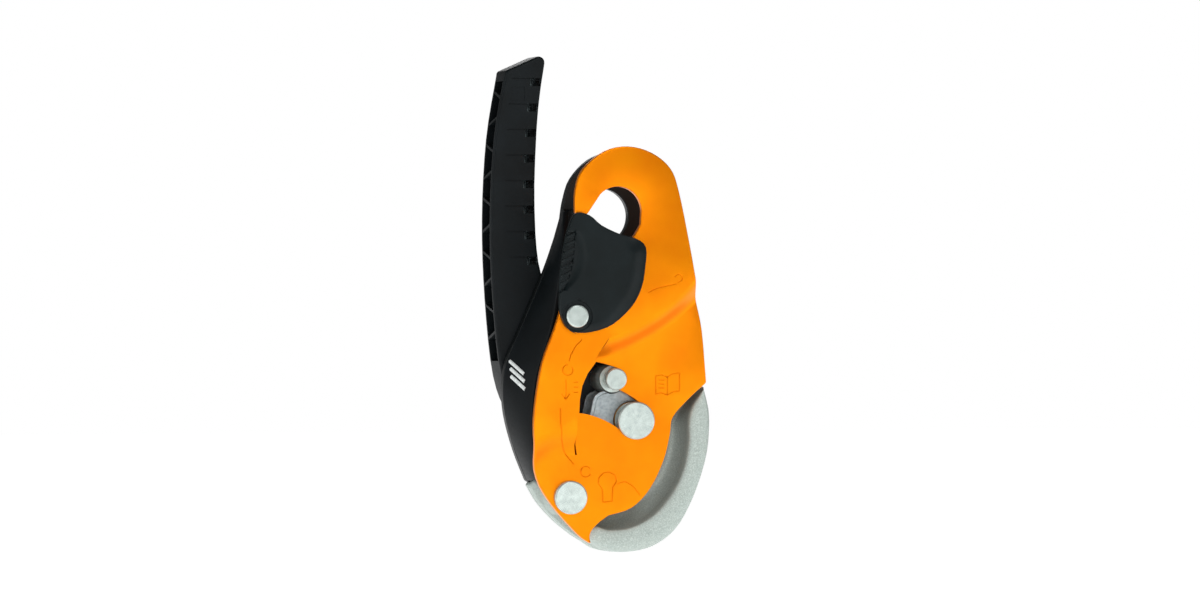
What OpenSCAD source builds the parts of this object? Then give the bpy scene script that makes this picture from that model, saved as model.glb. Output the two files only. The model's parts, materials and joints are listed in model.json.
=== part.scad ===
/* [Plates] */
// Radius of the connector eye in the fixed plate
eye_r = 11; // [10:0.5:11]
// Thickness of the fixed plate
fixed_t = 4; // [3.5:0.5:4]
// Thickness of the moving plate
moving_t = 3; // [2:0.5:3]
// Clear width between the plates for the rope
rope_gap = 16; // [15.5:0.1:16]
// Height of the step pressed into the moving plate
joggle_h = 6; // [5.8:0.1:6]
// Radius of the hook hole in the moving plate
hook_r = 9.8; // [9:0.2:9.8]

/* [Pins] */
// Radius of the main axle's shaft
axle_r = 6; // [5.5:0.1:6]
// Radius of the main axle's head
axle_head_r = 7.5; // [7:0.1:7.5]
// Radius of the stop pin's head
stop_head_r = 4.35; // [4.1:0.05:4.4]
// Radius of the pivot rivet's shank
pivot_r = 5; // [4.5:0.1:5]
// Radius of the pivot rivet's head
pivot_head_r = 6.65; // [6:0.05:7]
// Running clearance on the pins
run_gap = 0.05; // [0.03:0.01:0.08]

/* [Gate] */
// Thickness of the gate's leaf
gate_t = 3; // [2.5:0.1:3]
// Radius of the gate rivet's head
gate_head_r = 4.5; // [4:0.1:4.8]

/* [Handle] */
// Depth of the handle arm, front to back
handle_d = 16; // [15:0.5:16]
// Depth of the rib channel in the arm's outer side
channel_w = 9; // [7:0.5:10]
// Spacing of the ribs along the arm
rib_pitch = 10.7; // [9:0.1:12]
// Slope of the ribs, up and down in turn
rib_slope = 13; // [8:1:30]
// Thickness of a rib
rib_t = 1; // [0.8:0.1:1.6]

/* [Cam] */
// Angle that the cam turns from its stop
cam_travel = 20; // [16:1:20]
// How far the rope groove sits inside the cam's flanges, as a share of the flange's size
groove_share = 0.72; // [0.7:0.01:0.8]

/* [Hidden] */
$fn = 64;

// Axes of the pins, as [x, z]
axle = [8.7, -81.5];
stop = [0.4, -65];
pivot = [-18.1, -111.9];
gate_pin = [-17.5, -40];
catch_pin_at = [-26, -63];
pawl_pin_at = [-12.1, -69.5];
joggle_centre = [-26.5, 23.1];

// Front-to-back levels
low_back = -rope_gap - 0.3;
low_front = low_back - moving_t;
high_back = low_back - joggle_h;
high_front = high_back - moving_t;
head_back = low_front - 0.3;
head_front = head_back - 2.4;
gate_back = high_front - 0.3;
gate_front = gate_back - gate_t;
handle_front = fixed_t + 1.5;
handle_back = handle_front + handle_d;
block_floor = -5;
chamfer = 0.5;

// Radii of the slots that the moving plate clears the pins by
axle_groove_r = axle_r + 0.3;
axle_slot_r = axle_groove_r + 0.5;
stop_groove_r = stop_head_r - 0.4;
stop_slot_r = stop_groove_r + 0.55;
stop_shoulder_r = 5.4;
axle_orbit = norm(axle - pivot);
stop_orbit = norm(stop - pivot);
stop_path_r = norm(stop - axle);
stop_angle = atan2(stop[1] - axle[1], stop[0] - axle[0]);
stop_cut_r = stop_shoulder_r + 0.35;
band_high_r = 28;
band_low_r = 17;
joggle_high_r = 75.5;
joggle_low_r = 83.5;

// Drive between cam and handle
peg_r = 2.2;
peg_orbit = 12.9;
peg_angle = -60;
disc_r = 16.5;
disc_teeth = 30;
hub_boss_r = 20.5;
hub_r = 11;
screw_r = 1.6;
screw_head_r = 3;
fit = 0.03;
peg_at = axle + peg_orbit * [cos(peg_angle), sin(peg_angle)];
block_screw_at = [[36.5, -84], [31.3, -109], [13, -128.5]];
guard_rivet_at = [[-31.2, -52], [-31.6, -90]];
cover_screw_at = [[axle[0] - 10, axle[1] - 8.2], [axle[0] + 10, axle[1] + 8.2]];

// Smooth curve through points: Catmull-Rom, n steps between neighbours
function spot(a, b, c, d, t) =
    0.5 * (2 * b + (c - a) * t + (2 * a - 5 * b + 4 * c - d) * t * t + (3 * b - a - 3 * c + d) * t * t * t);
function bend(p, n = 4) =
    let (m = len(p) - 1)
    concat([for (i = [0 : m - 1]) for (k = [0 : n - 1])
            spot(p[max(i - 1, 0)], p[i], p[i + 1], p[min(i + 2, m)], k / n)], [p[m]]);
function ring(p, n = 4) =
    let (m = len(p))
    [for (i = [0 : m - 1]) for (k = [0 : n - 1])
     spot(p[(i + m - 1) % m], p[i], p[(i + 1) % m], p[(i + 2) % m], k / n)];
function arc(c, r, a0, a1, n = 16) =
    [for (k = [0 : n]) c + r * [cos(a0 + (a1 - a0) * k / n), sin(a0 + (a1 - a0) * k / n)]];
function about(c, share, p) = [for (q = p) c + share * (q - c)];
function shifted(p, d) = [for (q = p) q + d];
function reversed(p) = [for (i = [len(p) - 1 : -1 : 0]) p[i]];

// Flat shape given in x and z, made solid from y0 to y1
module slab(y0, y1) {
    translate([0, y1, 0]) rotate([90, 0, 0]) linear_extrude(y1 - y0) children();
}

// Round bar along y from y0 to y1 on the axis at
module bar(at, r, y0, y1) {
    translate([at[0], y1, at[1]]) rotate([90, 0, 0]) cylinder(r = r, h = y1 - y0);
}

// Turned piece on the axis at: profile points are [radius, y]
module turned(at, profile) {
    translate([at[0], 0, at[1]]) rotate([90, 0, 0]) rotate_extrude()
        polygon([for (p = profile) [p[0], -p[1]]]);
}

// Flat sector between two radii, used for slots that follow a turning pin
module sector(c, r0, r1, a0, a1) {
    polygon(concat(arc(c, r1, a0, a1), reversed(arc(c, r0, a0, a1))));
}

// Wire swept along a path that never runs straight along y
module wire(path, r, sides = 6) {
    m = len(path) - 1;
    dir = [for (i = [0 : m]) let (d = path[min(i + 1, m)] - path[max(i - 1, 0)]) d / norm(d)];
    side = [for (d = dir) let (s = cross(d, [0, 1, 0])) s / norm(s)];
    up = [for (i = [0 : m]) cross(side[i], dir[i])];
    pts = [for (i = [0 : m]) for (k = [0 : sides - 1])
           path[i] + r * (cos(360 * k / sides) * side[i] + sin(360 * k / sides) * up[i])];
    walls = [for (i = [0 : m - 1]) for (k = [0 : sides - 1])
             let (a = i * sides + k, b = i * sides + (k + 1) % sides)
             [a, b, b + sides, a + sides]];
    ends = [[for (k = [sides - 1 : -1 : 0]) k], [for (k = [0 : sides - 1]) m * sides + k]];
    polyhedron(points = pts, faces = concat(walls, ends), convexity = 6);
}

// Torsion spring: coil from y0 to y1 with a straight leg at each end
module torsion_spring(at, r, wire_r, y0, y1, turns, leg, from = 0) {
    steps = round(turns * 14);
    coil = [for (k = [0 : steps])
            let (a = from + 360 * turns * k / steps)
            [at[0] + r * cos(a), y0 + (y1 - y0) * k / steps, at[1] + r * sin(a)]];
    start = [coil[0][0] + leg * sin(from), y0, coil[0][2] - leg * cos(from)];
    last = from + 360 * turns;
    stop_end = [coil[steps][0] - leg * sin(last), y1, coil[steps][2] + leg * cos(last)];
    wire(concat([start], coil, [stop_end]), wire_r);
}

// Edge of the moving plate, from the hook's tip over the top and down to the block
plate_top = bend([[-17.5, 1.2], [-17.3, 10], [-14.3, 18.2], [-5.4, 25.4], [4.2, 27.4], [14, 24.9],
                  [21.7, 18.7], [25.3, 9.2], [29.8, -12.2], [33.4, -31.6], [36.4, -46], [38.1, -66.6]]);
plate_right = bend([[37.1, -67.5], [31.1, -72.8], [24.4, -80.2], [23.2, -87], [20.6, -97.3],
                    [15, -108.6], [7.4, -116.2], [-2.2, -119.2]]);
plate_toe = bend([[-5.4, -121.4], [-8.6, -124.4], [-9.9, -127.2], [-9.5, -130]]);
plate_foot = bend([[-10, -130], [-15, -126.4], [-25.4, -114.9],
                   [-31.6, -104.4], [-34, -90], [-34, -76.7], [-31, -58.8], [-26, -45.2],
                   [-23, -34.8], [-22, -21.5]]);
hook_mouth = bend([[-20.4, -19.2], [-14, -17.2], [-5, -14.6], [3, -11.6], [6.6, -8.2], [9.4, -3.5]]);
hook_hole = arc([0, 1.6], hook_r, 0, 137);
hook_tip = [[-12.6, 0.3], [-16.8, 0.3]];

// Edge of the fixed plate: the same top, a wider left side and a foot inside the block
fixed_top = bend([[-16.6, -1], [-15.5, 6], [-12.5, 14.8], [-5.1, 22.5], [3.5, 25.4], [13, 23.2],
                  [20.4, 17.6], [24.2, 9], [28.6, -12.2], [32.2, -31.6], [35.2, -46], [37.4, -66.5]]);
fixed_foot = bend([[38.9, -76], [39.2, -86], [37.3, -98], [32.5, -111.5], [25.5, -123], [16, -130.2],
                   [5, -131.8], [-6.5, -128.2], [-15.5, -121.8], [-23, -114.5], [-28.6, -107]]);
fixed_left = bend([[-31, -105.6], [-36, -93.2], [-39.8, -79.2], [-40.6, -67], [-38.9, -57.2],
                   [-33.5, -45.2], [-23.5, -21.8], [-18.8, -8.6]]);

// Friction block: outer edge, crest of the rim, foot of the rope channel and inner edge of the floor
block_outer = bend([[38, -68], [41.1, -77], [41.4, -88], [39.6, -99], [34.4, -113.5], [27.4, -125.4],
                    [18, -132.1], [7, -134.2], [-2.2, -133.2], [-7.9, -130], [-12.1, -127.4]]);
block_crest = bend([[37.9, -69.4], [34, -75.2], [32.1, -81], [32, -90], [30, -100.4], [25.4, -110],
                    [17.8, -118.9], [8.4, -124], [-1, -125], [-5.8, -123.6], [-10.2, -123.4]]);
block_foot = bend([[37.8, -70.8], [31, -76.8], [27.2, -83], [26.1, -90], [24.4, -97], [20.4, -104.6],
                   [13.6, -110.6], [5, -113.4], [-1.6, -116.6], [-5, -120.6], [-9.4, -121.8]]);
block_lip = bend([[-12.1, -127.4], [-19, -122], [-26, -114.6], [-30.4, -107.4]]);
block_inner = bend([[-28.6, -104.6], [-20, -101.8], [-11, -105.4], [-4, -109.8], [6, -111], [14, -108.4],
                    [20.6, -102], [24.6, -94], [26, -85.5], [28.6, -77], [36.8, -70.6]]);

// Cam's flange, with a nose that pinches the rope at the lower left
cam_edge = ring([[-6.4, -71.4], [-8.3, -78], [-10.6, -85], [-12.8, -91.6], [-10.6, -95.4], [-4, -97.4],
                 [2.6, -99.8], [9.5, -100.8], [16.4, -97.6], [21.4, -90.6], [22.9, -82], [21.2, -75],
                 [17.4, -69.8], [12.4, -67.8], [7, -68.4], [0, -69]], 3);

// Gate's leaf and the thumb scoop in its left margin
gate_edge = ring([[-18.4, 0.5], [-12.5, 0], [-7.5, -4], [0.2, -7.5], [7, -9.2], [11.1, -12.6],
                  [10.9, -20], [9.4, -28.5], [5.3, -36.2], [-2.3, -43.1], [-9.3, -45.8], [-15.9, -46.6],
                  [-21.4, -44.6], [-24.3, -38.4], [-24.5, -30], [-23.8, -20], [-21.9, -8.4]], 3);
scoop_edge = bend([[-18.2, -6.8], [-18.4, -12], [-18.8, -17], [-19.6, -21.4], [-20.9, -25.7], [-22.9, -29.6],
                   [-25.6, -31.4]]);
scoop_depth = 1.4;
scoop_rib = [5.4, 1.1];
scoop_rib_rise = 0.9;
scoop_rib_pitch = 3;

// Handle: outer side and grip side of the arm
arm_left = bend([[-38.3, 56.2], [-42.5, 30.8], [-44.2, -1.2], [-43.1, -33.2], [-39.6, -64],
                 [-33, -80], [-21, -93], [-5, -99.5]]);
arm_right = bend([[27, -76], [18, -64.5], [2, -57.5], [-11, -47], [-19, -33], [-24.4, -18.4],
                  [-26, 6], [-25.3, 31], [-24, 47], [-21.9, 61]]);
arm_top = concat(arc([-24.3, 61.5], 2.4, -8, 114, 8), arc([-36.6, 56.9], 1.6, 114, 170, 4));
channel_left = bend([[-38.6, 54], [-42.5, 30.8], [-44.2, -1.2], [-43.1, -33.2], [-40.2, -58]]);

module moving_outline() {
    polygon(concat(plate_top, plate_right, plate_toe, plate_foot, hook_mouth, hook_hole, hook_tip));
}

// Left band of the moving plate: stays high until it steps down around the pivot
module band_zone() {
    polygon([[-60, -48.5], [-3.5, -48.5], [-8.6, -57.6], [-12.4, -62.7], [-14.6, -67.5], [-15.6, -73],
             [-15.9, -79], [-16.3, -91], [-15.5, -95], [-18, -104], [-60, -112]]);
}

module pin_window() {
    difference() {
        union() {
            sector(pivot, axle_orbit - axle_slot_r, axle_orbit + axle_slot_r, 48.6, 108);
            sector(pivot, stop_orbit - stop_slot_r, stop_orbit + stop_slot_r, 68.5, 108);
            translate(axle) circle(r = axle_slot_r);
            translate(stop) circle(r = stop_slot_r);
        }
        band_zone();
    }
}

module slits() {
    polygon([[-3.4, -48.2], [-4.2, -49.9], [-8.4, -57.8], [-9.6, -57.4]]);
    polygon([[-16.4, -78.9], [-16.8, -91], [-15.9, -95.2], [-15.3, -95], [-15.9, -91], [-15.2, -78.9]]);
}

// Sheet with an S-shaped step: one level inside r0, the other outside r1
module stepped_sheet(c, r0, r1, y_in, y_out, reach) {
    steps = 12;
    s = [for (k = [0 : steps]) let (t = k / steps) [r0 + (r1 - r0) * t, y_in + (y_out - y_in) * (3 - 2 * t) * t * t]];
    back = concat([[0, y_in]], s, [[reach, y_out]]);
    turned(c, concat(back, reversed([for (p = back) p - [0, moving_t]])));
}

module moving_side_plate() {
    color("#F39410") difference() {
        union() {
            intersection() {
                slab(high_front - 1, low_back + 1) difference() { moving_outline(); band_zone(); }
                stepped_sheet(joggle_centre, joggle_high_r, joggle_low_r, high_back, low_back, 170);
            }
            intersection() {
                slab(high_front - 1, low_back + 1) intersection() { moving_outline(); band_zone(); }
                stepped_sheet(pivot, band_low_r, band_high_r, low_back, high_back, 90);
            }
        }
        slab(high_front - 1, low_back + 1) { pin_window(); slits(); }
        bar(pivot, pivot_r + run_gap, high_front - 1, low_back + 1);
        bar(gate_pin, 2.5, high_front - 1, low_back + 1);
    }
}

module fixed_side_plate() {
    color("#23292B") difference() {
        slab(0, fixed_t) polygon(concat(fixed_top, fixed_foot, fixed_left));
        bar([0, 0], eye_r, -1, fixed_t + 1);
        bar(axle, axle_r, -1, fixed_t + 1);
        bar(stop, 3, -1, fixed_t + 1);
        bar(pivot, pivot_r, -1, fixed_t + 1);
        bar(catch_pin_at, 1.8, -1, fixed_t + 1);
        slab(-1, fixed_t + 1) {
            sector(axle, peg_orbit - peg_r - 0.4, peg_orbit + peg_r + 0.4, peg_angle, peg_angle + cam_travel);
            for (a = [peg_angle, peg_angle + cam_travel])
                translate(axle + peg_orbit * [cos(a), sin(a)]) circle(r = peg_r + 0.4);
        }
        for (p = block_screw_at) {
            bar(p, screw_r, -1, fixed_t + 1);
            bar(p, screw_head_r, 2, fixed_t + 1);
        }
        for (p = guard_rivet_at) bar(p, 1.5, -1, fixed_t + 1);
    }
}

// Sloping wall that closes the rope channel's left side, with a foot on the fixed plate
module side_guard() {
    y = -rope_gap;
    front = bend([[-31, y, -105], [-32.4, y, -94], [-33, y, -84], [-32.6, y, -74], [-31, y, -63],
                  [-27.8, y, -53], [-24.8, y, -43], [-23, y, -33], [-21.6, y, -22], [-18.6, -9, -8],
                  [-16.6, -3.4, 2]], 3);
    back = bend([[-31, -105.6], [-36, -93.2], [-39.4, -82], [-40.6, -70], [-39.4, -58.8], [-34.6, -47.4],
                 [-30.4, -38], [-26.2, -28.2], [-22.6, -19.4], [-18.4, -7.2], [-16, 2.4]], 3);
    wall = 2.4;
    foot = 7.5;
    m = len(front) - 1;
    pts = [for (i = [0 : m]) let (f = front[i], b = back[i])
           each [f, [b[0], 0, b[1]], [b[0] + foot - 4.6 * max(0, i - 21) / 9, 0, b[1]],
                 [b[0] + foot - 4.6 * max(0, i - 21) / 9, -wall, b[1]],
                 [b[0] + (b[0] - f[0]) * wall / f[1] + wall, -wall, b[1]], f + [wall, 0, 0]]];
    walls = [for (i = [0 : m - 1]) for (k = [0 : 5])
             let (a = i * 6 + k, b = i * 6 + (k + 1) % 6)
             each [[a, b, b + 6], [a, b + 6, a + 6]]];
    color("#1B2123") polyhedron(points = pts, convexity = 8,
        faces = concat(walls, [[5, 4, 3, 2, 1, 0]], [[for (k = [0 : 5]) m * 6 + k]]));
}

module guard_rivets() {
    color("#8F9698") for (p = guard_rivet_at) {
        bar(p, 1.5, -2.4, fixed_t);
        bar(p, 2.6, fixed_t, fixed_t + 0.9);
    }
}

// Rounded rim and the hollow flank that the rope slides along, lofted from edge to foot
module block_rim() {
    flank_top = -rope_gap + 0.9;
    flank_foot = block_floor + 0.4;
    root = -1;
    // share of the way from the edge to the crest, and the level there
    brow = [[0.012, root], [0.012, -10.5], [0.05, -13], [0.15, -14.9], [0.32, -15.8], [0.55, -16], [0.8, -15.9],
            [0.94, -15.6]];
    hollow = [for (t = [0, 0.05, 0.15, 0.3, 0.5, 0.75, 1])
              [t, flank_top + (flank_foot - flank_top) * sqrt(1 - (1 - t) * (1 - t))]];
    n = len(brow) + len(hollow) + 1;
    m = len(block_outer) - 1;
    pts = [for (i = [0 : m]) let (o = block_outer[i], c = block_crest[i], f = block_foot[i])
           each concat([for (b = brow) let (p = o + b[0] * (c - o)) [p[0], b[1], p[1]]],
                       [for (h = hollow) let (p = c + h[0] * (f - c)) [p[0], h[1], p[1]]],
                       [[f[0], root, f[1]]])];
    walls = [for (i = [0 : m - 1]) for (k = [0 : n - 1])
             let (a = i * n + k, b = i * n + (k + 1) % n)
             each [[a, b + n, b], [a, a + n, b + n]]];
    ends = [[for (k = [0 : n - 1]) k], [for (k = [n - 1 : -1 : 0]) m * n + k]];
    polyhedron(points = pts, faces = concat(walls, ends), convexity = 6);
}

module friction_block() {
    color("#C9D2CE") difference() {
        union() {
            slab(block_floor, fixed_t) polygon(concat(block_outer, block_lip, block_inner));
            block_rim();
            bar(pivot, 7.6, -rope_gap + 1, 0);
        }
        slab(0, fixed_t + 1) polygon(concat(fixed_top, fixed_foot, fixed_left));
        bar(pivot, pivot_r, -rope_gap - 1, fixed_t + 1);
        for (p = block_screw_at) {
            bar(p, screw_r, -10, fixed_t + 1);
            bar(p, screw_head_r, 2, fixed_t + 1);
        }
    }
}

module block_screws() {
    color("#8F9698") for (p = block_screw_at) difference() {
        turned(p, [[0, -9.9], [screw_r - fit, -9.9], [screw_r - fit, 2], [screw_head_r - fit, 2],
                   [screw_head_r - fit, fixed_t], [0, fixed_t]]);
        translate([p[0], fixed_t + 0.2, p[1]]) rotate([90, 0, 0]) cylinder(r = 1.5, h = 1.4, $fn = 6);
    }
}

module main_axle() {
    color("#D3DADA") turned(axle, [[0, head_front], [axle_head_r - chamfer, head_front],
        [axle_head_r, head_front + chamfer], [axle_head_r, head_back], [axle_groove_r, head_back],
        [axle_groove_r, -16], [7.3, -16], [7.3, -15], [axle_r, -15], [axle_r, handle_back + 1.4],
        [4, handle_back + 1.4], [4, handle_back + 5.2], [0, handle_back + 5.2]]);
}

module axle_nut() {
    color("#A9B0B1") difference() {
        translate([axle[0], handle_back + 4.6, axle[1]]) rotate([90, 0, 0]) cylinder(r = 8, h = 3.2, $fn = 6);
        bar(axle, 4, handle_back, handle_back + 6);
    }
}

module stop_pin() {
    color("#D3DADA") turned(stop, [[0, head_front], [stop_head_r - chamfer, head_front],
        [stop_head_r, head_front + chamfer], [stop_head_r, head_back], [stop_groove_r, head_back],
        [stop_groove_r, -16], [stop_shoulder_r, -16], [stop_shoulder_r, 0], [3, 0], [3, fixed_t], [0, fixed_t]]);
}

module pivot_rivet() {
    color("#D3DADA") turned(pivot, [[0, low_front - 2.6], [pivot_head_r - chamfer, low_front - 2.6],
        [pivot_head_r, low_front - 2.1], [pivot_head_r, low_front - 0.1], [pivot_r, low_front - 0.1],
        [pivot_r, fixed_t], [7, fixed_t], [7, fixed_t + 0.9], [0, fixed_t + 0.9]]);
}

module pivot_washer() {
    color("#E4E6E2") turned(pivot, [[pivot_r, -16.2], [7.2, -16.2], [7.2, -15], [pivot_r, -15]]);
}

module gate_rivet() {
    color("#D3DADA") turned(gate_pin, [[0, gate_front - 1], [gate_head_r - chamfer, gate_front - 1],
        [gate_head_r, gate_front - 0.6], [gate_head_r, gate_front - 0.1], [2.5, gate_front - 0.1],
        [2.5, high_back], [4, high_back], [4, high_back + 0.9], [0, high_back + 0.9]]);
}

module gate_spring() {
    color("#B9BFC0") torsion_spring(gate_pin, 3.5, 0.3, high_front - 0.4, high_front - 1.5, 1.75, 1.2, 30);
}

module safety_gate() {
    color("#171C1E") difference() {
        slab(gate_front, gate_back) polygon(gate_edge);
        difference() {
            slab(gate_front - 1, gate_front + scoop_depth) polygon(concat(scoop_edge, [[-30, -31.4], [-30, -6.8]]));
            for (k = [0 : 7]) slab(gate_front + scoop_depth - scoop_rib_rise, gate_front + 3)
                translate([-23.7 + 0.03 * (k - 7) * (k - 7), -9.8 - k * scoop_rib_pitch]) rotate(24) square(scoop_rib);
        }
        bar(gate_pin, 2.5 + run_gap, gate_front - 1, gate_back + 1);
        bar(gate_pin, 4.9, gate_back - 1.6, gate_back + 1);
    }
}

module cam() {
    front = -14.7;
    back = -0.4;
    color("#9AA3A5") {
        difference() {
            union() {
                slab(front, front + 2.6) polygon(cam_edge);
                slab(front + 2.6, back - 1.8) polygon(about(axle, groove_share, cam_edge));
                slab(back - 1.8, back) polygon(cam_edge);
            }
            slab(front - 1, front + 0.6) polygon(about(axle, 0.92, cam_edge));
            bar(axle, 7.5, front - 1, back + 1);
            bar(axle, 10.4, back - 3, back + 1);
            // path of the stop pin, seen from the turning cam
            slab(front - 1, back + 1) {
                sector(axle, stop_path_r - stop_cut_r, stop_path_r + 9, stop_angle - cam_travel, stop_angle);
                for (a = [stop_angle - cam_travel, stop_angle])
                    translate(axle + stop_path_r * [cos(a), sin(a)]) circle(r = stop_cut_r);
            }
        }
        bar(peg_at, peg_r, back - 1.5, handle_front + 2.6);
    }
}

module cam_bushing() {
    color("#B08D57") turned(axle, [[axle_r + 0.04, -14.6], [7.5, -14.6], [7.5, -0.5], [axle_r + 0.04, -0.5]]);
}

module cam_spring() {
    color("#B9BFC0") intersection() {
        torsion_spring(axle, 8.9, 0.5, -2.7, -1.1, 1.4, 1, 120);
        bar(axle, 10.2, -4, 0);
    }
}

// Toothed disc that carries the cam's peg
module drive_disc() {
    color("#8A9193") difference() {
        slab(fixed_t + 0.3, handle_front + 2.8) difference() {
            translate(axle) circle(r = disc_r);
            for (k = [0 : disc_teeth - 1]) let (a = 360 * k / disc_teeth)
                translate(axle) rotate(a) polygon([[disc_r + 0.5, -0.9], [disc_r + 0.5, 0.9], [disc_r - 1.3, -0.7]]);
        }
        bar(axle, axle_r + 0.04, 0, handle_back);
        bar(peg_at, peg_r, 0, handle_back);
    }
}

module catch() {
    k = catch_pin_at;
    color("#7C8587") difference() {
        union() {
            bar(k, 3.4, -12.4, -5.4);
            slab(-12.4, -5.4) polygon(concat(bend([k + [1.4, 3], k + [8, 0.6], k + [14.2, -6.2]], 3),
                                             bend([k + [13.6, -9.4], k + [7.5, -7.4], k + [-1.8, -2.8]], 3)));
        }
        bar(k, 1.8 + run_gap, -20, 0);
    }
}

module catch_pin() {
    color("#B9BFC0") {
        bar(catch_pin_at, 1.8, -13.6, fixed_t);
        bar(catch_pin_at, 2.6, -13.6, -12.6);
        bar(catch_pin_at, 2.8, fixed_t, fixed_t + 0.9);
    }
}

module catch_spring() {
    color("#B9BFC0") torsion_spring(catch_pin_at, 2.4, 0.35, -4.9, -1.2, 4.25, 3, 200);
}

module handle_arm() {
    y0 = handle_front;
    y1 = handle_back;
    color("#15191A") difference() {
        union() {
            difference() {
                slab(y0, y1) {
                    polygon(concat(arm_left, arm_right, arm_top));
                    translate(axle) circle(r = hub_boss_r);
                }
                slab(y0 + 2.2, y1 - 2.2) arm_channel();
            }
            intersection() {
                slab(y0 + 2, y1 - 2) arm_channel();
                for (k = [0 : 9]) translate([-60, (y0 + y1) / 2, 48.6 - k * rib_pitch])
                    rotate([k % 2 == 0 ? rib_slope : -rib_slope, 0, 0])
                    translate([0, -handle_d, -rib_t / 2]) cube([50, 2 * handle_d, rib_t]);
                slab(y0, y1) polygon(concat(arm_left, arm_right, arm_top));
            }
        }
        bar(axle, hub_r, y0, y1 + 1);
        bar(axle, disc_r + 1.2, y0 - 1, y0 + 3.4);
        slab(y0 - 1, y0 + 3.4) pawl_pocket();
        bar(pawl_pin_at, 1.6, y0, y0 + 8);
        for (p = cover_screw_at) bar(p, 1.5, y1 - 8, y1 + 1);
    }
}

module arm_channel() {
    polygon(concat(shifted(channel_left, [-6, 0]), reversed(shifted(channel_left, [channel_w, 0]))));
}

module pawl_pocket() {
    k = pawl_pin_at;
    translate(k) circle(r = 4.4);
    polygon([k + [-4.4, 0], k + [-3, 8], k + [0, 10.2], k + [14.6, 10.2], k + [14.6, 2], k + [6, -6]]);
}

module handle_hub() {
    color("#9AA3A5") turned(axle, [[axle_r + 0.04, handle_front + 3], [hub_r, handle_front + 3],
        [hub_r, handle_back - 0.2], [axle_r + 0.04, handle_back - 0.2]]);
}

module friction_washer() {
    color("#B9BFC0") turned(axle, [[axle_r + 0.1, handle_back], [10, handle_back], [10, handle_back + 1.2],
                                   [axle_r + 0.1, handle_back + 1.2]]);
}

module hub_cover() {
    y = handle_back;
    color("#15191A") difference() {
        turned(axle, [[11.5, y], [17, y], [17, y + 4.4], [15, y + 6.6], [0, y + 7.2], [0, y + 5.6], [11.5, y + 5.4]]);
        for (p = cover_screw_at) {
            bar(p, 1.5, y - 1, y + 9);
            bar(p, 2.8, y + 3, y + 9);
        }
    }
}

module hub_cover_screws() {
    y = handle_back;
    color("#8F9698") for (p = cover_screw_at) difference() {
        turned(p, [[0, y - 8], [1.5, y - 8], [1.5, y + 3], [2.8, y + 3], [2.8, y + 5], [0, y + 5]]);
        translate([p[0], y + 5.2, p[1]]) rotate([90, 0, 0]) cylinder(r = 1.4, h = 1.4, $fn = 6);
    }
}

module pawl() {
    k = pawl_pin_at;
    color("#8A9193") difference() {
        union() {
            bar(k, 3, handle_front + 0.5, handle_front + 3);
            slab(handle_front + 0.5, handle_front + 3)
                polygon([k + [-0.4, 2.9], k + [7, 6.2], k + [13.4, 5], k + [12.8, 3.1], k + [7, 1.8], k + [2.4, -1.6]]);
        }
        bar(k, 1.6 + run_gap, 0, handle_back);
    }
}

module pawl_pin() {
    color("#B9BFC0") bar(pawl_pin_at, 1.6, handle_front + 0.3, handle_front + 8);
}

module pawl_spring() {
    k = pawl_pin_at;
    color("#B9BFC0") wire([for (i = [0 : 10]) [k[0] + 1 + 1.2 * i, handle_front + 1.8,
                                               k[1] + 9.4 - 0.04 * i * (10 - i)]], 0.3);
}

fixed_side_plate();
side_guard();
guard_rivets();
friction_block();
block_screws();
main_axle();
axle_nut();
stop_pin();
pivot_rivet();
pivot_washer();
moving_side_plate();
gate_rivet();
gate_spring();
safety_gate();
cam();
cam_bushing();
cam_spring();
drive_disc();
catch();
catch_pin();
catch_spring();
handle_arm();
handle_hub();
friction_washer();
hub_cover();
hub_cover_screws();
pawl();
pawl_pin();
pawl_spring();
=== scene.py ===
import json
import math

import bmesh
import bpy
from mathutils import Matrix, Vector
from mathutils.bvhtree import BVHTree


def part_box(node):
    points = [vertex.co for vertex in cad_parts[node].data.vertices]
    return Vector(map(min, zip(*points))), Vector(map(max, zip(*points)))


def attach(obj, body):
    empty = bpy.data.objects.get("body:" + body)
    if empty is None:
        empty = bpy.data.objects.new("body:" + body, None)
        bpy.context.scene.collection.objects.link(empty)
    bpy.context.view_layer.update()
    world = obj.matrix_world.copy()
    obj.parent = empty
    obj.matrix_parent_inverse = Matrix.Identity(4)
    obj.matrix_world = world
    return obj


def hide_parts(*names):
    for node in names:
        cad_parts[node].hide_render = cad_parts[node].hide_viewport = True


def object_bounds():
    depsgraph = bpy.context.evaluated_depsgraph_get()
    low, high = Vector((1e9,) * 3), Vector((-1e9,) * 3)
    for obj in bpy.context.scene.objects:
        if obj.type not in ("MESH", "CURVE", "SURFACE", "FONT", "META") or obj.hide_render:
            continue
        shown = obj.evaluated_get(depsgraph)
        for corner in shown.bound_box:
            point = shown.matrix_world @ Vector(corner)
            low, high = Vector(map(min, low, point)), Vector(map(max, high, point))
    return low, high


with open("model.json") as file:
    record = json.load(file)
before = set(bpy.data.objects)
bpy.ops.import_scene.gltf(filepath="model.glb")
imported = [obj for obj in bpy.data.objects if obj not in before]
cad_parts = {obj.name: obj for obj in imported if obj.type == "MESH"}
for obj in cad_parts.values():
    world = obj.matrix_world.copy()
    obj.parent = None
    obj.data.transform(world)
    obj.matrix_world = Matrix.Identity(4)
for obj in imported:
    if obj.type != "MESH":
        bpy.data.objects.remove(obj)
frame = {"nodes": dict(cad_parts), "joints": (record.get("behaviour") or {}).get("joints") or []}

MM = 0.001
NODES = frame["nodes"]
JOINTS = {joint["name"]: Vector(joint["pos_m"]) for joint in frame["joints"]}
AXLE = JOINTS["handle_swing"]
PIVOT = JOINTS["side_plate_swing"]
GATE_PIN = JOINTS["gate_pivot"]
STOP = (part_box("stop_pin")[0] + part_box("stop_pin")[1]) / 2
cad_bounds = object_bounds()


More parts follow.
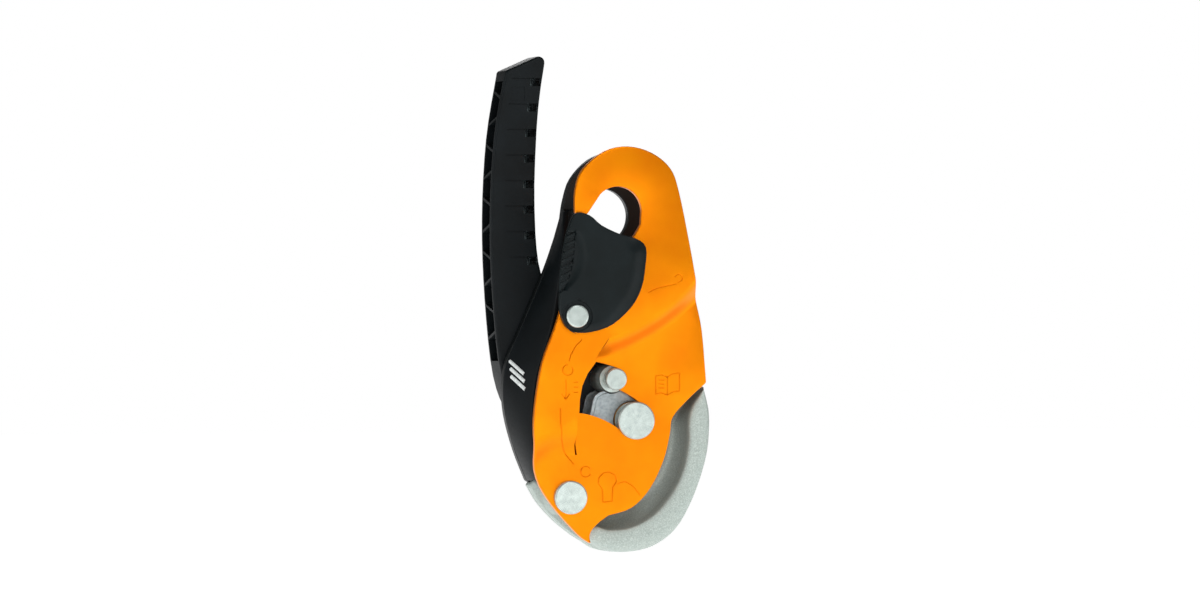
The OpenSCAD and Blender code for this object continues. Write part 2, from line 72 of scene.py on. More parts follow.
# ---------------------------------------------------------------- tools


def mm(*values):
    """Millimetres to a point in metres."""
    return Vector(values) * MM


def only(piece):
    """Makes this the one selected and active object."""
    bpy.ops.object.select_all(action="DESELECT")
    piece.select_set(True)
    bpy.context.view_layer.objects.active = piece
    return piece


def whole(piece, *steps):
    """Runs edit-mode steps on the whole of a piece."""
    only(piece)
    bpy.ops.object.mode_set(mode="EDIT")
    bpy.ops.mesh.select_all(action="SELECT")
    for step in steps:
        step()
    bpy.ops.object.mode_set(mode="OBJECT")


def weld():
    bpy.ops.mesh.remove_doubles(threshold=2e-6)


def flatten():
    """Merges the triangles of each flat face."""
    bpy.ops.mesh.dissolve_limited(angle_limit=math.radians(0.4))


def triangles():
    """Splits flat faces into well-shaped triangles."""
    bpy.ops.mesh.quads_convert_to_tris(quad_method="BEAUTY", ngon_method="BEAUTY")


def outward():
    bpy.ops.mesh.normals_make_consistent(inside=False)


def finish_mesh(piece, angle=35):
    """Smooth shading that keeps edges sharper than the angle."""
    only(piece)
    bpy.ops.object.shade_smooth_by_angle(angle=math.radians(angle))
    return piece


def modifier(piece, kind, **settings):
    """Adds a modifier and applies it."""
    only(piece)
    added = piece.modifiers.new(kind.title(), kind)
    for key, value in settings.items():
        setattr(added, key, value)
    bpy.ops.object.modifier_apply(modifier=added.name)


def rounded(piece, width, segments=3, angle=35):
    """Rounds every edge sharper than the angle by a width in millimetres."""
    modifier(piece, "BEVEL", width=width * MM, segments=segments, limit_method="ANGLE",
             angle_limit=math.radians(angle), use_clamp_overlap=False, miter_outer="MITER_ARC")
    return finish_mesh(piece)


def soften(piece, test, width, segments=4, angle=30):
    """Rounds the sharp edges whose two ends pass the test, by a width in millimetres."""
    only(piece)
    bpy.ops.object.mode_set(mode="EDIT")
    bpy.ops.mesh.select_mode(type="EDGE")
    bpy.ops.mesh.select_all(action="DESELECT")
    shape = bmesh.from_edit_mesh(piece.data)
    for edge in shape.edges:
        sharp = edge.calc_face_angle(0) > math.radians(angle)
        edge.select_set(sharp and all(test(end.co) for end in edge.verts))
    bmesh.update_edit_mesh(piece.data)
    bpy.ops.mesh.bevel(offset=width * MM, segments=segments, affect="EDGES", clamp_overlap=False)
    bpy.ops.object.mode_set(mode="OBJECT")
    return piece


def joined(pieces):
    """Makes one object of several."""
    only(pieces[0])
    for piece in pieces:
        piece.select_set(True)
    bpy.ops.object.join()
    return pieces[0]


def carve(piece, cutters):
    """Takes the cutters away from the piece."""
    cutter = joined(cutters)
    modifier(piece, "BOOLEAN", operation="DIFFERENCE", solver="EXACT", use_self=True, object=cutter)
    bpy.data.objects.remove(cutter)
    return piece


def block(low, high, turn=(0, 0, 0)):
    """Box between two corners, turned about its own middle."""
    bpy.ops.object.select_all(action="DESELECT")
    bpy.ops.mesh.primitive_cube_add(size=1, location=(low + high) / 2, rotation=turn)
    box = bpy.context.object
    box.scale = high - low
    bpy.ops.object.transform_apply(location=True, rotation=True, scale=True)
    return box


def surface(piece):
    """Search tree of a piece's faces, to find where a line meets it."""
    mesh = piece.data
    points = [point.co for point in mesh.vertices]
    return BVHTree.FromPolygons(points, [face.vertices for face in mesh.polygons])


def front_at(tree, x, z):
    """Point of the front surface at x and z in millimetres."""
    return tree.ray_cast(mm(x, -100, z), Vector((0, 1, 0)))[0]


def drawn(tree, points, radius, lift=0.0, step=0.8):
    """Round bar along a line drawn on the front surface: points are (x, z) in millimetres."""
    spots = []
    for (x0, z0), (x1, z1) in zip(points, points[1:]):
        count = max(1, round(math.hypot(x1 - x0, z1 - z0) / step))
        spots += [(x0 + (x1 - x0) * k / count, z0 + (z1 - z0) * k / count) for k in range(count)]
    spots.append(points[-1])
    hits = [front_at(tree, x, z) for x, z in spots]
    hits = [hit + mm(0, -lift, 0) for hit in hits if hit]
    line = bpy.data.curves.new("line", "CURVE")
    line.dimensions = "3D"
    line.bevel_depth = radius * MM
    line.bevel_resolution = 1
    line.use_fill_caps = True
    spline = line.splines.new("POLY")
    spline.points.add(len(hits) - 1)
    for point, hit in zip(spline.points, hits):
        point.co = (*hit, 1)
    bar = bpy.data.objects.new("line", line)
    bpy.context.scene.collection.objects.link(bar)
    only(bar)
    bpy.ops.object.convert(target="MESH")
    whole(bar, outward)
    return bar


def ease(value):
    """Smooth step from 0 to 1."""
    value = min(1.0, max(0.0, value))
    return value * value * (3 - 2 * value)


def node_copy(node, name):
    """A merged copy of a CAD node's mesh, to be finished as a new piece."""
    piece = bpy.data.objects.new(name, NODES[node].data.copy())
    bpy.context.scene.collection.objects.link(piece)
    piece.data.materials.clear()
    only(piece)
    bpy.ops.mesh.customdata_custom_splitnormals_clear()
    whole(piece, weld, flatten)
    return piece


def place(piece, paint, body, slot, *replaced):
    """Gives a finished piece its material and body, and hides the CAD nodes it stands for."""
    piece.data.materials.clear()
    piece.data.materials.append(paint)
    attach(piece, body)
    if replaced:
        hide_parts(*replaced)
    return piece


def dress(node, paint, edge=0.25, segments=2, angle=35):
    """A CAD node that stays: its own material, softened edges and even shading."""
    piece = NODES[node]
    only(piece)
    bpy.ops.mesh.customdata_custom_splitnormals_clear()
    piece.data.materials.clear()
    piece.data.materials.append(paint)
    merged = piece.modifiers.new("Weld", "WELD")
    merged.merge_threshold = 2e-6
    if edge:
        flat = piece.modifiers.new("Flat faces", "DECIMATE")
        flat.decimate_type = "DISSOLVE"
        flat.angle_limit = math.radians(0.4)
        soft = piece.modifiers.new("Soft edges", "BEVEL")
        soft.width = edge * MM
        soft.segments = segments
        soft.limit_method = "ANGLE"
        soft.angle_limit = math.radians(angle)
        soft.use_clamp_overlap = False
        even = piece.modifiers.new("Even shading", "WEIGHTED_NORMAL")
        even.keep_sharp = True
    only(piece)
    bpy.ops.object.shade_smooth_by_angle(angle=math.radians(angle))
    return piece


# ---------------------------------------------------------------- materials


def colour(code):
    """sRGB hex to linear RGBA."""
    parts = [int(code[i:i + 2], 16) / 255 for i in (1, 3, 5)]
    linear = [p / 12.92 if p <= 0.04045 else ((p + 0.055) / 1.055) ** 2.4 for p in parts]
    return (*linear, 1.0)


def add(tree, kind, settings=None, links=None):
    """Adds a node, sets its sockets or properties and links its inputs."""
    made = tree.nodes.new(kind)
    for key, value in (settings or {}).items():
        if isinstance(key, str) and hasattr(made, key):
            setattr(made, key, value)
        else:
            made.inputs[key].default_value = value
    for key, socket in (links or {}).items():
        tree.links.new(socket, made.inputs[key])
    return made


def new_material(name):
    """Material with a Principled shader. Returns (material, tree, shader, position)."""
    paint = bpy.data.materials.new(name)
    paint.use_nodes = True
    tree = paint.node_tree
    shader = tree.nodes["Principled BSDF"]
    position = add(tree, "ShaderNodeTexCoord").outputs["Object"]
    return paint, tree, shader, position


def grain(tree, position, size_mm, detail=2.0):
    """Noise whose blotches are about size_mm across."""
    return add(tree, "ShaderNodeTexNoise", {"Scale": 1 / (size_mm * MM), "Detail": detail},
               {"Vector": position}).outputs["Fac"]


def ramp(tree, source, stops):
    """Colour ramp: stops are (place, hex) pairs."""
    made = add(tree, "ShaderNodeValToRGB", links={"Fac": source})
    points = made.color_ramp.elements
    while len(points) < len(stops):
        points.new(0.5)
    for point, (at, code) in zip(points, stops):
        point.position = at
        point.color = colour(code)
    return made.outputs["Color"]


def span(tree, source, low, high, from_low=0.0, from_high=1.0):
    """Maps a value from one range to another."""
    return add(tree, "ShaderNodeMapRange",
               {"From Min": from_low, "From Max": from_high, "To Min": low, "To Max": high},
               {"Value": source}).outputs["Result"]


def bump(tree, shader, height, depth_mm, strength=1.0):
    """Bump of a real depth from a height pattern."""
    made = add(tree, "ShaderNodeBump", {"Strength": strength, "Distance": depth_mm * MM}, {"Height": height})
    tree.links.new(made.outputs["Normal"], shader.inputs["Normal"])


def orange_anodised():
    """Anodised aluminium sheet: dyed orange, satin, over a fine blasted grain."""
    paint, tree, shader, position = new_material("orange_anodised_aluminium")
    blotch = grain(tree, position, 14, 3)
    dye = ramp(tree, blotch, [(0.3, "#EA7E00"), (0.7, "#F08A00")])
    tree.links.new(dye, shader.inputs["Base Color"])
    fine = grain(tree, position, 0.35, 2)
    tree.links.new(span(tree, fine, 0.30, 0.40), shader.inputs["Roughness"])
    shader.inputs["Metallic"].default_value = 0.7
    shader.inputs["Specular IOR Level"].default_value = 0.15
    bump(tree, shader, fine, 0.006)
    return paint


def black_anodised():
    """Hard-anodised aluminium plate: near black, slightly blue, dull sheen with faint wear."""
    paint, tree, shader, position = new_material("black_anodised_aluminium")
    blotch = grain(tree, position, 9, 4)
    tint = ramp(tree, blotch, [(0.3, "#0B1011"), (0.75, "#131819")])
    tree.links.new(tint, shader.inputs["Base Color"])
    fine = grain(tree, position, 0.4, 2)
    tree.links.new(span(tree, fine, 0.36, 0.5), shader.inputs["Roughness"])
    shader.inputs["Metallic"].default_value = 0.5
    bump(tree, shader, fine, 0.008)
    return paint


def black_nylon(name, low, high, dark, light):
    """Glass-filled nylon moulding: charcoal with a spark-eroded mould grain and a soft sheen."""
    paint, tree, shader, position = new_material(name)
    cloud = grain(tree, position, 11, 3)
    tint = ramp(tree, cloud, [(0.3, dark), (0.75, light)])
    tree.links.new(tint, shader.inputs["Base Color"])
    pebble = add(tree, "ShaderNodeTexVoronoi", {"Scale": 1 / (0.45 * MM)}, {"Vector": position})
    tree.links.new(span(tree, pebble.outputs["Distance"], low, high), shader.inputs["Roughness"])
    shader.inputs["Specular IOR Level"].default_value = 0.15
    bump(tree, shader, pebble.outputs["Distance"], 0.012, 0.7)
    return paint


def cast_aluminium():
    """Die-cast aluminium, bead blasted: pale grey, even matte grain with small bright and dark specks."""
    paint, tree, shader, position = new_material("bead_blasted_cast_aluminium")
    speck = grain(tree, position, 0.45, 4)
    tint = ramp(tree, speck, [(0.3, "#97A29C"), (0.5, "#A9B4AE"), (0.72, "#C2CCC6")])
    tree.links.new(tint, shader.inputs["Base Color"])
    tree.links.new(span(tree, speck, 0.46, 0.62), shader.inputs["Roughness"])
    shader.inputs["Metallic"].default_value = 0.35
    bump(tree, shader, speck, 0.03, 0.8)
    return paint


def turned_steel(name, centre):
    """Stainless steel turned on a lathe: bright, with rings round the pin's own axis."""
    paint, tree, shader, position = new_material(name)
    moved = add(tree, "ShaderNodeMapping", {"Location": (-centre.x, 0, -centre.z)}, {"Vector": position})
    flat = add(tree, "ShaderNodeMapping", {"Scale": (1, 0, 1)}, {"Vector": moved.outputs["Vector"]})
    radius = add(tree, "ShaderNodeVectorMath", {"operation": "LENGTH"}, {0: flat.outputs["Vector"]})
    # Tool marks 0.45 mm apart, coarser than real ones so that they show
    rings = add(tree, "ShaderNodeMath", {"operation": "SINE"}, {0: add(
        tree, "ShaderNodeMath", {"operation": "MULTIPLY", 1: math.tau / (0.45 * MM)},
        {0: radius.outputs["Value"]}).outputs["Value"]})
    smear = grain(tree, position, 2.2, 3)
    tint = ramp(tree, smear, [(0.3, "#A9B4B0"), (0.7, "#C2CDC8")])
    tree.links.new(tint, shader.inputs["Base Color"])
    tree.links.new(span(tree, rings.outputs["Value"], 0.24, 0.34, -1, 1), shader.inputs["Roughness"])
    shader.inputs["Metallic"].default_value = 0.6
    shader.inputs["Anisotropic"].default_value = 0.5
    bump(tree, shader, rings.outputs["Value"], 0.004)
    return paint


def plain_metal(name, dark, light, rough, metallic=0.9, size=1.2):
    """Small machined or drawn metal part: tone and roughness vary a little over its surface."""
    paint, tree, shader, position = new_material(name)
    patch = grain(tree, position, size, 4)
    tree.links.new(ramp(tree, patch, [(0.3, dark), (0.7, light)]), shader.inputs["Base Color"])
    tree.links.new(span(tree, patch, rough - 0.06, rough + 0.08), shader.inputs["Roughness"])
    shader.inputs["Metallic"].default_value = metallic
    bump(tree, shader, grain(tree, position, 0.25, 2), 0.004)
    return paint


def natural_nylon():
    """Natural nylon washer: milky, slightly waxy."""
    paint, tree, shader, position = new_material("natural_nylon")
    patch = grain(tree, position, 2, 3)
    tree.links.new(ramp(tree, patch, [(0.3, "#DAD9D0"), (0.7, "#E8E7DF")]), shader.inputs["Base Color"])
    tree.links.new(span(tree, patch, 0.38, 0.5), shader.inputs["Roughness"])
    shader.inputs["Subsurface Weight"].default_value = 0.1
    return paint


def white_ink():
    """Pad-printed epoxy ink: a matte off-white film, a little uneven."""
    paint, tree, shader, position = new_material("pad_printed_ink")
    patch = grain(tree, position, 1.5, 3)
    tree.links.new(ramp(tree, patch, [(0.3, "#CDD3D2"), (0.7, "#DFE4E3")]), shader.inputs["Base Color"])
    tree.links.new(span(tree, patch, 0.5, 0.62), shader.inputs["Roughness"])
    return paint


ORANGE = orange_anodised()
BLACK_METAL = black_anodised()
GRIP = black_nylon("black_nylon_handle", 0.42, 0.58, "#060B0D", "#0B1215")
# Light grey copy of the handle's nylon: painted highlight on the notch floors and slopes that face the
# lamps; its lower roughness is a real smoother finish
PAINTED_HIGHLIGHT_GRIP = black_nylon("notch_floor_nylon_painted_highlight", 0.26, 0.34, "#4A5254", "#5C6668")
GATE_NYLON = black_nylon("black_nylon_gate", 0.34, 0.5, "#081011", "#10191B")
GUARD_NYLON = black_nylon("black_nylon_guard", 0.4, 0.56, "#05090B", "#0B1114")
CAST = cast_aluminium()
SPRING_WIRE = plain_metal("drawn_spring_wire", "#8E9698", "#AEB6B8", 0.3)
HARD_STEEL = plain_metal("hardened_steel", "#6D7577", "#8D9597", 0.36)
CAM_STEEL = plain_metal("cast_stainless_steel", "#8E979A", "#AFB8BA", 0.42, 0.8)
ZINC = plain_metal("zinc_plated_steel", "#8A9192", "#A9B0B0", 0.34)
BRONZE = plain_metal("sintered_bronze", "#8A6A3C", "#A98450", 0.45)
WASHER_NYLON = natural_nylon()
INK = white_ink()


# ---------------------------------------------------------------- pieces


def curl(centre, radius, start, stop, count=14):
    """Points of an arc, as (x, z) in millimetres; angles in degrees."""
    turns = [math.radians(start + (stop - start) * k / count) for k in range(count + 1)]
    return [(centre[0] + radius * math.cos(a), centre[1] + radius * math.sin(a)) for a in turns]


def engraved_lines():
    """Lines of the plate's signs, as (x, z) in millimetres: rope path, hand, booklet and connector."""
    rope_path = [(-14.8, -49.2), (-17.4, -51.8), (-19.4, -55.2), (-20, -57.6)]
    loop = curl((-20.6, -61.2), 2.1, 90, 400)
    arrow = [[(-21.4, -65), (-21.4, -72.6)], [(-23, -70.6), (-21.4, -72.8), (-19.8, -70.6)]]
    bars = [[(-18.2, z), (-16.4, z)] for z in (-66, -68, -70)]
    load_path = [(-23.6, -76.4), (-23.5, -82), (-22.6, -88.4), (-20.4, -94.2), (-16.6, -98.6)]
    pulley = curl((-11.6, -101.6), 2.1, 30, 330)
    fist = [(-6.2, -104), (-4.6, -102.4), (-2.2, -101.8), (0.4, -103), (1, -105.6), (-0.6, -108),
            (-0.8, -113.4), (-4.6, -113.8), (-4.8, -108.6), (-6.6, -106.4), (-6.2, -104)]
    brake_path = [(1.4, -106.6), (4.6, -105.6), (7.8, -107.4), (10.8, -111.2)]
    page_left = [(22, -64.2), (19.6, -63.2), (17.2, -63.8), (17.2, -71), (19.6, -70.4), (22, -71.4),
                 (22, -64.2)]
    page_right = [(22, -64.2), (24.4, -62.8), (27, -62.6), (27, -69.8), (24.4, -70), (22, -71.4)]
    words = [[(18.4, z), (20.8, z - 0.2)] for z in (-65.2, -66.8, -68.4)]
    connector_path = [(12.4, -30.6), (16, -28.8), (20.4, -27.8), (24.2, -27)]
    ring_sign = curl((25, -24.8), 1.5, 250, 530, 10)
    return [rope_path, loop, *arrow, *bars, load_path, pulley, fist, brake_path, page_left, page_right,
            *words, connector_path, ring_sign]


def reach(point, axis):
    """Distance in x and z from a point to a pin's axis."""
    return math.hypot(point.x - axis.x, point.z - axis.z)


def outside_window(point):
    """True away from the plate's pin window, its slits and its bores."""
    x, z = point.x / MM, point.z / MM
    in_window = -18.5 < x < 19 and -98 < z < -46
    return not in_window and min(reach(point, pin) for pin in (GATE_PIN, PIVOT)) >= 5.5 * MM


def side_plate():
    """Stepped moving plate: rounded rim, then the signs cut 0.24 mm deep."""
    piece = node_copy("moving_side_plate", "orange_side_plate")
    whole(piece, triangles)
    soften(piece, outside_window, 0.55, 4, 40)
    tree = surface(piece)
    carve(piece, [drawn(tree, line, 0.32, 0.08) for line in engraved_lines()])
    finish_mesh(piece)
    return place(piece, ORANGE, "side_plate", "orange_anodised", "moving_side_plate")


def outline_segments(piece, level):
    """Sharp edges of a leaf's outline at a level, away from its bore, as pairs of points."""
    shape = bmesh.new()
    shape.from_mesh(piece.data)
    pairs = []
    for edge in shape.edges:
        ends = [end.co.copy() for end in edge.verts]
        level_and_clear = all(abs(end.y - level) < 1e-5 and reach(end, GATE_PIN) > 6 * MM for end in ends)
        if edge.calc_face_angle(0) > 1 and level_and_clear:
            pairs.append(ends)
    shape.free()
    return pairs


def away(point, pairs):
    """Distance in x and z from a point to the nearest outline edge."""
    best = 1.0
    for a, b in pairs:
        along, to = Vector((b.x - a.x, b.z - a.z)), Vector((point.x - a.x, point.z - a.z))
        share = min(1.0, max(0.0, to.dot(along) / max(along.length_squared, 1e-12)))
        best = min(best, (to - along * share).length)
    return best


def slice_up(piece, low, high, step):
    """Cuts a piece's faces along planes of x and z, so that they can be bent."""
    only(piece)
    bpy.ops.object.mode_set(mode="EDIT")
    for axis in (0, 2):
        count = round((high[axis] - low[axis]) / (step * MM))
        for k in range(1, count):
            spot, normal = [0, 0, 0], [0, 0, 0]
            spot[axis], normal[axis] = low[axis] + (high[axis] - low[axis]) * k / count, 1
            bpy.ops.mesh.select_all(action="SELECT")
            bpy.ops.mesh.bisect(plane_co=spot, plane_no=normal)
    bpy.ops.object.mode_set(mode="OBJECT")


# The gate's leaf, in millimetres
CELL = 0.8
MARGIN_FALL = 1.6
RING = (4.6, 6.1, 0.5)
SCOOP_EDGE = [(-18.2, -6.8), (-18.4, -12), (-18.8, -17), (-19.6, -21.4), (-20.9, -25.7), (-22.9, -29.6)]
SCOOP_DEPTH = 1.35
SCOOP_BOTTOM = -29.8
SCOOP_HEIGHT = 23


def gate():
    """Gate leaf: free margin that falls away, thumb scoop with a sloping wall, ring round the rivet."""
    piece = node_copy("safety_gate", "gate_leaf")
    low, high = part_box("safety_gate")
    front = low.y
    margin = [pair for pair in outline_segments(piece, high.y)
              if (pair[0].x > 8 * MM or pair[0].z < -35 * MM) and pair[0].x > -19 * MM]
    wall = [(mm(x0, 0, z0), mm(x1, 0, z1)) for (x0, z0), (x1, z1) in zip(SCOOP_EDGE, SCOOP_EDGE[1:])]
    inner, outer, depth = RING
    carve(piece, [ring_cutter(GATE_PIN, inner, outer, front + depth * MM)])
    whole(piece, weld)
    slice_up(piece, low, high, CELL)
    for point in piece.data.vertices:
        x, z = point.co.x / MM, point.co.z / MM
        if point.co.y > front + 0.6 * MM:
            continue
        # The margin's slope is wider on the right of the leaf
        margin_width = 2.6 + 3.8 * ease((x + 8) / 12)
        fall = MARGIN_FALL * (1 - ease(away(point.co, margin) / MM / margin_width))
        along = (z - SCOOP_BOTTOM) / SCOOP_HEIGHT
        if point.co.y < front + 0.02 * MM and 0 < along < 1 and x > -24:
            # The wall's slope is widest half way up, which makes the scoop a crescent
            wall_width = 0.4 + 5.4 * math.sin(math.pi * along) ** 0.7
            fall += SCOOP_DEPTH * (1 - ease(away(point.co, wall) / MM / wall_width))
        point.co.y += fall * MM
    rounded(piece, 0.25, 2, 55)
    finish_mesh(piece, 40)
    return place(piece, GATE_NYLON, "gate", "black_plastic", "safety_gate")


def ring_cutter(axis, inner, outer, depth):
    """Ring that cuts a groove round a pin from the front down to a depth."""
    bpy.ops.object.select_all(action="DESELECT")
    bpy.ops.mesh.primitive_circle_add(vertices=48, radius=outer * MM, fill_type="NGON",
                                      location=(axis.x, depth, axis.z), rotation=(math.pi / 2, 0, 0))
    ring = bpy.context.object
    bpy.ops.object.transform_apply(location=True, rotation=True, scale=True)
    bpy.ops.object.mode_set(mode="EDIT")
    bpy.ops.mesh.select_all(action="SELECT")
    bpy.ops.mesh.inset(thickness=(outer - inner) * MM)
    bpy.ops.mesh.delete(type="FACE")
    bpy.ops.mesh.select_all(action="SELECT")
    bpy.ops.mesh.extrude_region_move(TRANSFORM_OT_translate={"value": (0, -10 * MM, 0)})
    bpy.ops.mesh.select_all(action="SELECT")
    outward()
    bpy.ops.object.mode_set(mode="OBJECT")
    return ring


# The handle's finger notches, in millimetres: a band cut round the grip's front corner, with a
# sloping left end and a sloping corner, and a thin groove beside it
NOTCH_PITCH = 10.2
NOTCH_COUNT = 8
NOTCH_TOP = 53.6
NOTCH_HALF_HEIGHT = 1.6
BAND_WIDTH = 3.8
BAND_DEPTH = 1
SIDE_DEPTH = 0.9
LEFT_SLOPE_REACH = 2
CORNER_SLOPE_REACH = 3.5
GROOVE_FROM = (-12.4, 1.1)
GROOVE_TO = (-4.6, 1.6)
GROOVE_DEPTH = 0.4
BEYOND = 2
BEFORE = 1
BORES_RADIUS = 19.5


def on_handle_rim(point):
    """True on the handle's outline, away from the hub's bores and the pawl's pocket."""
    x, z = point.x / MM, point.z / MM
    in_pocket = -17 < x < 3.5 and -82 < z < -59
    return not in_pocket and reach(point, AXLE) > BORES_RADIUS * MM


def slope(middle, half_diagonal, half_height):
    """Square bar on its corner, up and down, whose sides cut 45 degree slopes."""
    half = half_diagonal / math.sqrt(2)
    corner = mm(half, half, half_height)
    return block(middle - corner, middle + corner, (0, 0, math.pi / 4))


def notch_cutters(edge, z, front, back):
    """Cutters of one finger notch, whose middle is at height z on the grip's edge."""
    # Heights are summed as vectors, as slope does, so that the ends of these cutters share a plane
    def spot(x, y, rise):
        return Vector((0, 0, z)) + mm(0, 0, rise) + Vector((edge + x * MM, y, 0))

    before = front - BEFORE * MM
    band = block(spot(-BAND_WIDTH, before, -NOTCH_HALF_HEIGHT),
                 spot(BEYOND, front + BAND_DEPTH * MM, NOTCH_HALF_HEIGHT))
    side = block(spot(-SIDE_DEPTH, before, -NOTCH_HALF_HEIGHT),
                 spot(BEYOND, back + BEFORE * MM, NOTCH_HALF_HEIGHT))
    left_slope = slope(spot(-BAND_WIDTH, before, 0), LEFT_SLOPE_REACH, NOTCH_HALF_HEIGHT)
    corner_slope = slope(spot(-SIDE_DEPTH, before, 0), CORNER_SLOPE_REACH, NOTCH_HALF_HEIGHT)
    groove = block(Vector((edge + GROOVE_FROM[0] * MM, before, z + GROOVE_FROM[1] * MM)),
                   Vector((edge + GROOVE_TO[0] * MM, front + GROOVE_DEPTH * MM, z + GROOVE_TO[1] * MM)))
    return [band, side, left_slope, corner_slope, groove]


def paint_notch_highlights(piece, edges):
    """Gives the notches' floors and slopes, which face the grip side, a smoother nylon painted a much
    lighter grey: painted highlight.
    """
    piece.data.materials.append(PAINTED_HIGHLIGHT_GRIP)
    for face in piece.data.polygons:
        x, z = face.center.x / MM, face.center.z / MM
        k = round((NOTCH_TOP - z) / NOTCH_PITCH)
        if not 0 <= k < NOTCH_COUNT or abs(NOTCH_TOP - k * NOTCH_PITCH - z) > NOTCH_HALF_HEIGHT + 0.05:
            continue
        # Faces turned toward the right and the lamps get the light grey nylon: painted highlight
        if 0.5 < edges[k] / MM - x < 4.9 and face.normal.x > 0.5:
            face.material_index = 1


def handle():
    """Handle moulding: wide rounded rim, finger notches, thin grooves and a shallow square panel."""
    piece = node_copy("handle_arm", "handle_moulding")
    low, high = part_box("handle_arm")

    def on_front_or_back_rim(end):
        return min(abs(end.y - low.y), abs(end.y - high.y)) < 1e-5 and on_handle_rim(end)

    soften(piece, on_front_or_back_rim, 1.1, 5)
    tree = surface(NODES["handle_arm"])
    middle = (low.y + high.y) / 2

    def grip_edge(z):
        return tree.ray_cast(Vector((0.2, middle, z)), Vector((-1, 0, 0)))[0].x

    heights = [(NOTCH_TOP - k * NOTCH_PITCH) * MM for k in range(NOTCH_COUNT)]
    edges = [grip_edge(z) for z in heights]
    cutters = []
    for edge, z in zip(edges, heights):
        cutters += notch_cutters(edge, z, low.y, high.y)
    panel_edge = grip_edge(48.5 * MM)
    cutters.append(block(Vector((panel_edge - 12 * MM, low.y - BEFORE * MM, 46 * MM)),
                         Vector((panel_edge - 6.4 * MM, low.y + 0.2 * MM, 51.6 * MM))))
    carve(piece, cutters)
    finish_mesh(piece)
    place(piece, GRIP, "handle", "black_plastic", "handle_arm")
    paint_notch_highlights(piece, edges)
    return piece


def guard():
    """Sloping guard moulding with rounded edges."""
    piece = node_copy("side_guard", "guard_moulding")
    rounded(piece, 0.5)
    return place(piece, GUARD_NYLON, "chassis", "black_plastic", "side_guard")


def guard_stripes(moulding):
    """Three plain stripes of white ink on the guard: sunk bars that stand 0.15 mm proud."""
    tree = surface(moulding)
    piece = joined([drawn(tree, [(-37.9, z), (-34.2, z - 5)], 0.9, -0.75, 0.5) for z in (-58, -61, -64)])
    piece.name = "guard_stripes"
    return place(piece, INK, "chassis", "nylon")


def kept_nodes():
    """CAD nodes that stay, each with its own finish."""
    dress("fixed_side_plate", BLACK_METAL, 0.4, 3)
    dress("friction_block", CAST, 0)
    dress("main_axle", turned_steel("turned_steel_axle", AXLE), 0.2)
    dress("stop_pin", turned_steel("turned_steel_stop", STOP), 0.2)
    dress("pivot_rivet", turned_steel("turned_steel_pivot", PIVOT), 0.2)
    dress("gate_rivet", turned_steel("turned_steel_gate", GATE_PIN), 0.2)
    dress("pivot_washer", WASHER_NYLON, 0.1)
    dress("cam", CAM_STEEL, 0.25)
    dress("cam_bushing", BRONZE, 0.15)
    dress("drive_disc", HARD_STEEL, 0.15)
    dress("catch", HARD_STEEL, 0.4)
    dress("catch_pin", ZINC, 0.2)
    dress("handle_hub", HARD_STEEL, 0.2)
    dress("friction_washer", SPRING_WIRE, 0.15)
    dress("hub_cover", GRIP, 0.4)
    dress("pawl", HARD_STEEL, 0.2)
    dress("pawl_pin", ZINC, 0.15)
    for name in ("axle_nut", "hub_cover_screws", "block_screws", "guard_rivets"):
        dress(name, ZINC, 0.2)
    for name in ("gate_spring", "cam_spring", "catch_spring", "pawl_spring"):
        dress(name, SPRING_WIRE, 0, angle=60)


# ---------------------------------------------------------------- stage, light and camera


def pale(name, code, roughness, glow):
    """Plain matte backdrop paint."""
    paint, tree, shader, position = new_material(name)
    shader.inputs["Base Color"].default_value = colour(code)
    shader.inputs["Roughness"].default_value = roughness
    shader.inputs["Specular IOR Level"].default_value = 0.1
    shader.inputs["Emission Color"].default_value = (1, 1, 1, 1)
    shader.inputs["Emission Strength"].default_value = glow
    return paint


def floor(level):
    """Plain pale floor, out to where it melts into the background."""
    bpy.ops.object.select_all(action="DESELECT")
    bpy.ops.mesh.primitive_plane_add(size=12, location=(0, 0, level))
    ground = bpy.context.object
    ground.name = "floor"
    ground.data.materials.append(pale("white_floor", "#FFFFFF", 0.8, 0.85))


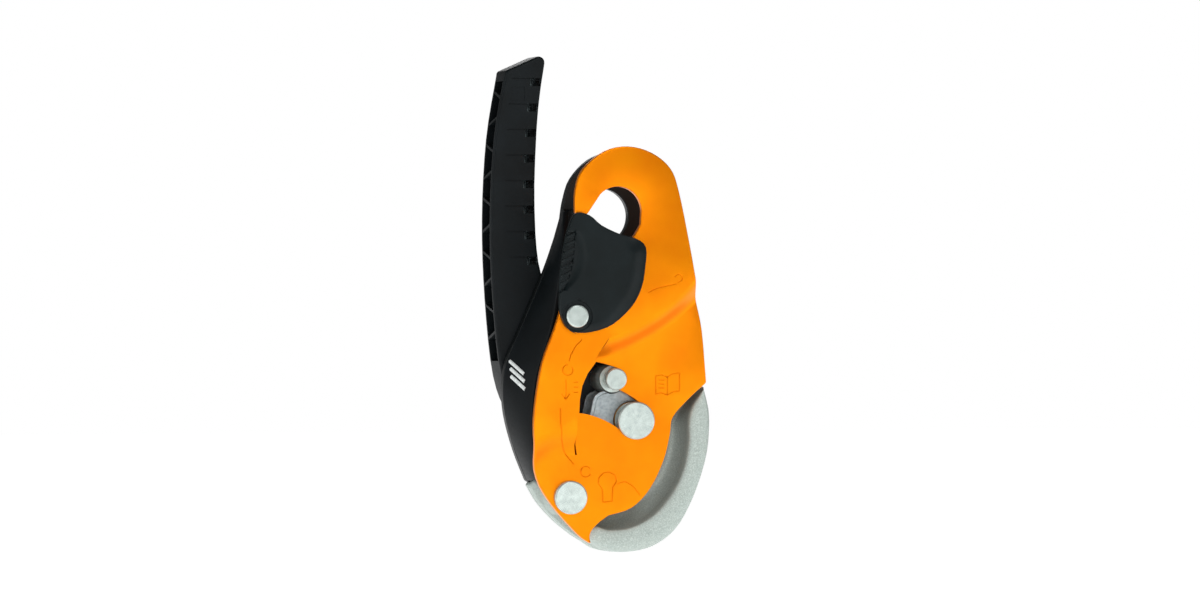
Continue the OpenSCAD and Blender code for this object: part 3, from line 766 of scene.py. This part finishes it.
def lamp(name, offset, target, size, power):
    """Soft rectangular lamp, set off from a point and aimed at it."""
    data = bpy.data.lights.new(name, "AREA")
    data.shape = "RECTANGLE"
    data.size, data.size_y = size
    data.energy = power
    made = bpy.data.objects.new(name, data)
    bpy.context.scene.collection.objects.link(made)
    made.location = target + Vector(offset)
    made.rotation_mode = "QUATERNION"
    made.rotation_quaternion = (-Vector(offset)).to_track_quat("-Z", "Y")


def studio(centre):
    """White backdrop that lights the object only a little, and soft lamps that shape it."""
    world = bpy.data.worlds.new("white_studio")
    world.use_nodes = True
    tree = world.node_tree
    seen = add(tree, "ShaderNodeLightPath").outputs["Is Camera Ray"]
    level = span(tree, seen, 0.16, 1.0)
    backdrop = tree.nodes["Background"]
    backdrop.inputs["Color"].default_value = (1, 1, 1, 1)
    tree.links.new(level, backdrop.inputs["Strength"])
    bpy.context.scene.world = world
    bpy.context.scene.view_settings.view_transform = "Standard"
    lamp("key", (0.1, -0.95, 0.65), centre, (0.4, 0.4), 3.4)
    lamp("front_fill", (-0.15, -1.0, 0.05), centre, (0.5, 0.3), 0.7)
    lamp("low_front", (0.05, -0.5, -0.08), centre, (0.4, 0.04), 0.15)
    lamp("left_strip", (-0.9, -0.25, 0.1), centre, (0.18, 0.9), 3)
    lamp("right_strip", (0.8, -0.45, 0.15), centre, (0.14, 0.9), 0.7)
    lamp("low_right", (0.5, -0.3, -0.085), centre, (0.3, 0.25), 0.3)
    lamp("rear", (0.3, 0.9, 0.6), centre, (0.6, 0.6), 4)


def camera(centre):
    """Long lens, level with the object and 15 degrees to its left."""
    turn = math.radians(-15)
    lens, sensor, view_width = 200, 36, 0.48
    back = Vector((math.sin(turn), -math.cos(turn), 0))
    data = bpy.data.cameras.new("camera")
    data.lens = lens
    data.sensor_width = sensor
    made = bpy.data.objects.new("camera", data)
    bpy.context.scene.collection.objects.link(made)
    made.location = centre + back * (view_width * lens / sensor)
    made.rotation_mode = "QUATERNION"
    made.rotation_quaternion = (-back).to_track_quat("-Z", "Y")
    bpy.context.scene.camera = made


# The opened side plate and the lowered handle reach this far below the object
SWING_ROOM = 0.075


def main():
    low, high = cad_bounds
    centre = (low + high) / 2
    camera(centre + Vector((0.0006, 0, 0.0016)))
    studio(centre)
    floor(low.z - SWING_ROOM)
    side_plate()
    gate()
    handle()
    guard_stripes(guard())
    kept_nodes()


main()
